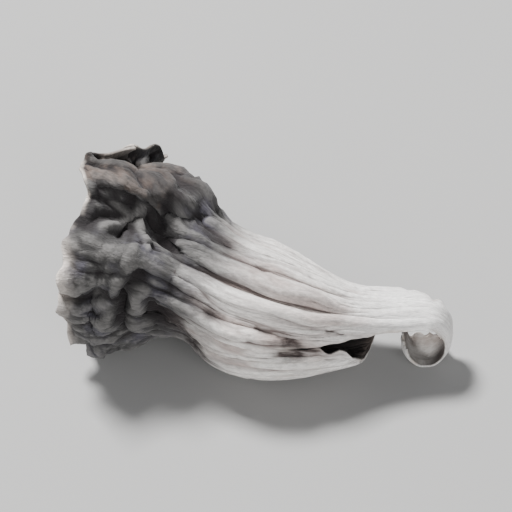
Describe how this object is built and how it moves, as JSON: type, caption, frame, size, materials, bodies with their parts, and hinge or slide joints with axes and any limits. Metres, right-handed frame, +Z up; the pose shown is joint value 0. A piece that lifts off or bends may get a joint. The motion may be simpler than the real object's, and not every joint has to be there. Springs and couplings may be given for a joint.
{
  "type": "dried trumpet mushroom",
  "caption": "Dried trumpet mushroom lying on its side: thin hollow ribbed funnel with a wavy dark mouth and a pale torn foot curled under.",
  "frame": {"origin": "centre of the bounding box, on the surface the mushroom lies on", "axes": "+X towards the torn foot, -X towards the mouth, +Y away from the viewer of the picture, +Z up"},
  "size_m": [0.057, 0.036, 0.0294],
  "materials": {
    "dried_flesh": "matte, dry and fibrous"
  },
  "bodies": {
    "root": {"trumpet_mushroom": "dried_flesh"}
  },
  "joints": []
}
